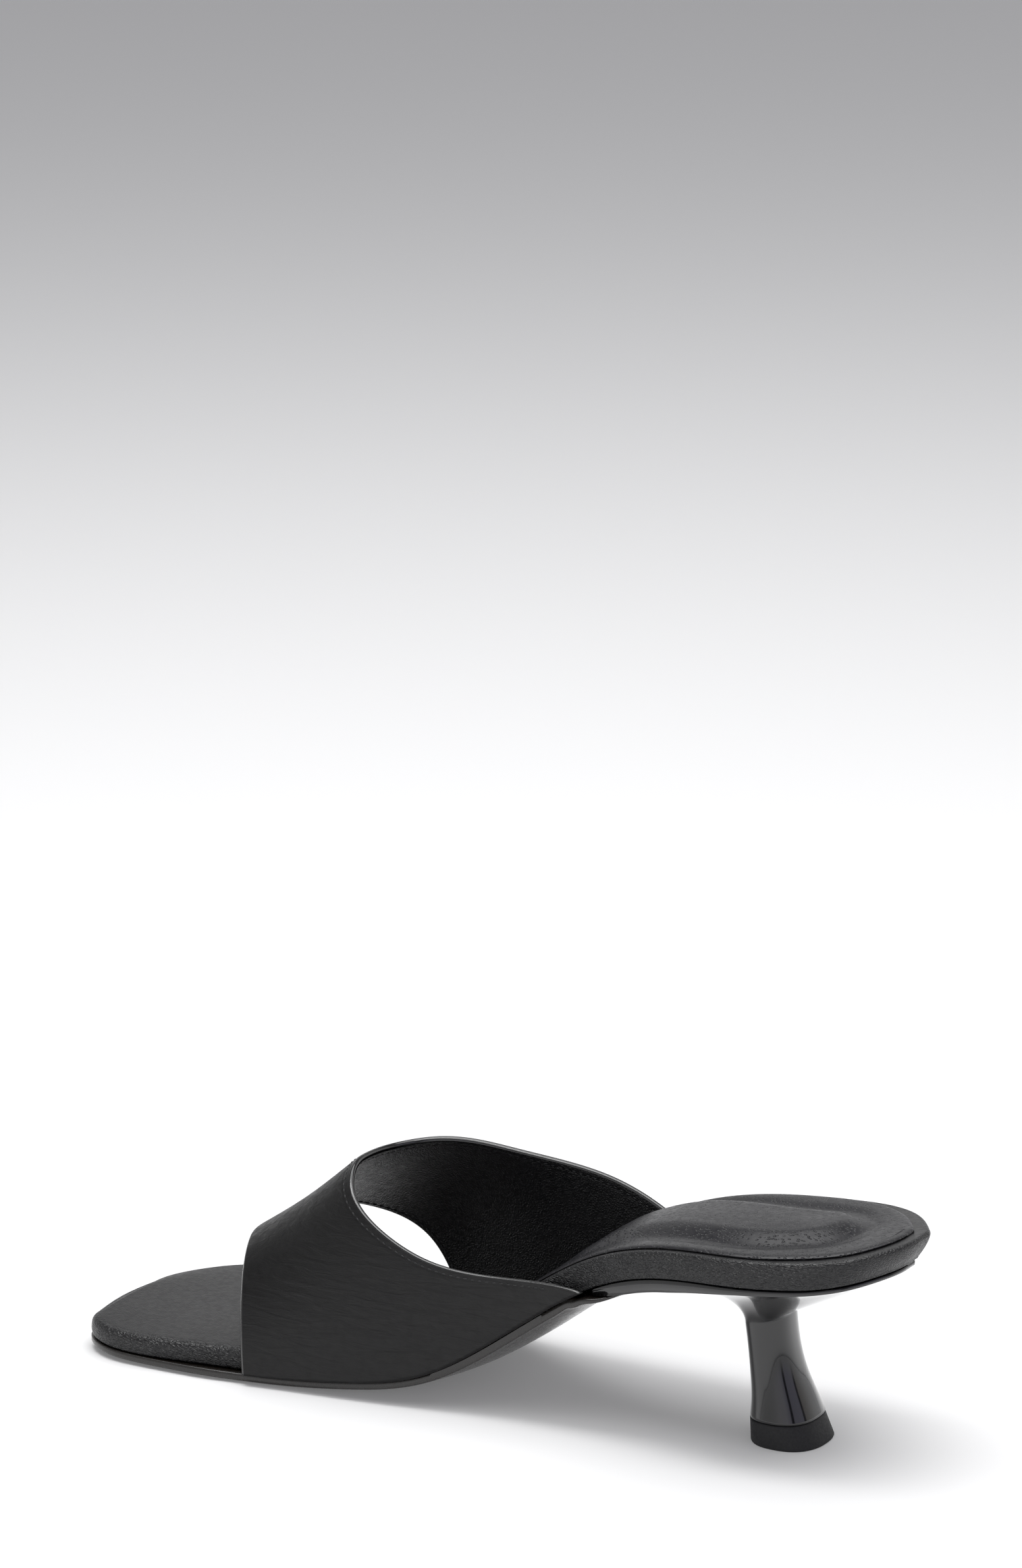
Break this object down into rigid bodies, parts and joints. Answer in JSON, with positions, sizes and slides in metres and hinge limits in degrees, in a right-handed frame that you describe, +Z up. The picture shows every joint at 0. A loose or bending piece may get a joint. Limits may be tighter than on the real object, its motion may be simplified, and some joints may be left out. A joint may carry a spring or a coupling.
{
  "type": "open-toe kitten-heel mule",
  "caption": "Open-toe slip-on mule with one wide leather band over the forefoot, a slim footbed with a padded heel seat and a flared glossy kitten heel.",
  "frame": {"origin": "middle of the top lift's floor face", "axes": "+X along the foot to the toe, +Y to the medial side, +Z up"},
  "size_m": [0.2482, 0.0804, 0.0657],
  "materials": {
    "outsole": "smooth dark sole leather with a painted edge",
    "heel": "high gloss black lacquer",
    "lift": "matt black rubber",
    "footbed": "fine-grain black leather",
    "sock": "soft black lining leather with open pores",
    "upper": "fine-grain black leather with a soft sheen"
  },
  "bodies": {
    "root": {"outsole": "outsole", "heel": "heel", "top_lift": "lift", "footbed": "footbed", "sock": "sock", "upper": "upper"}
  },
  "joints": []
}
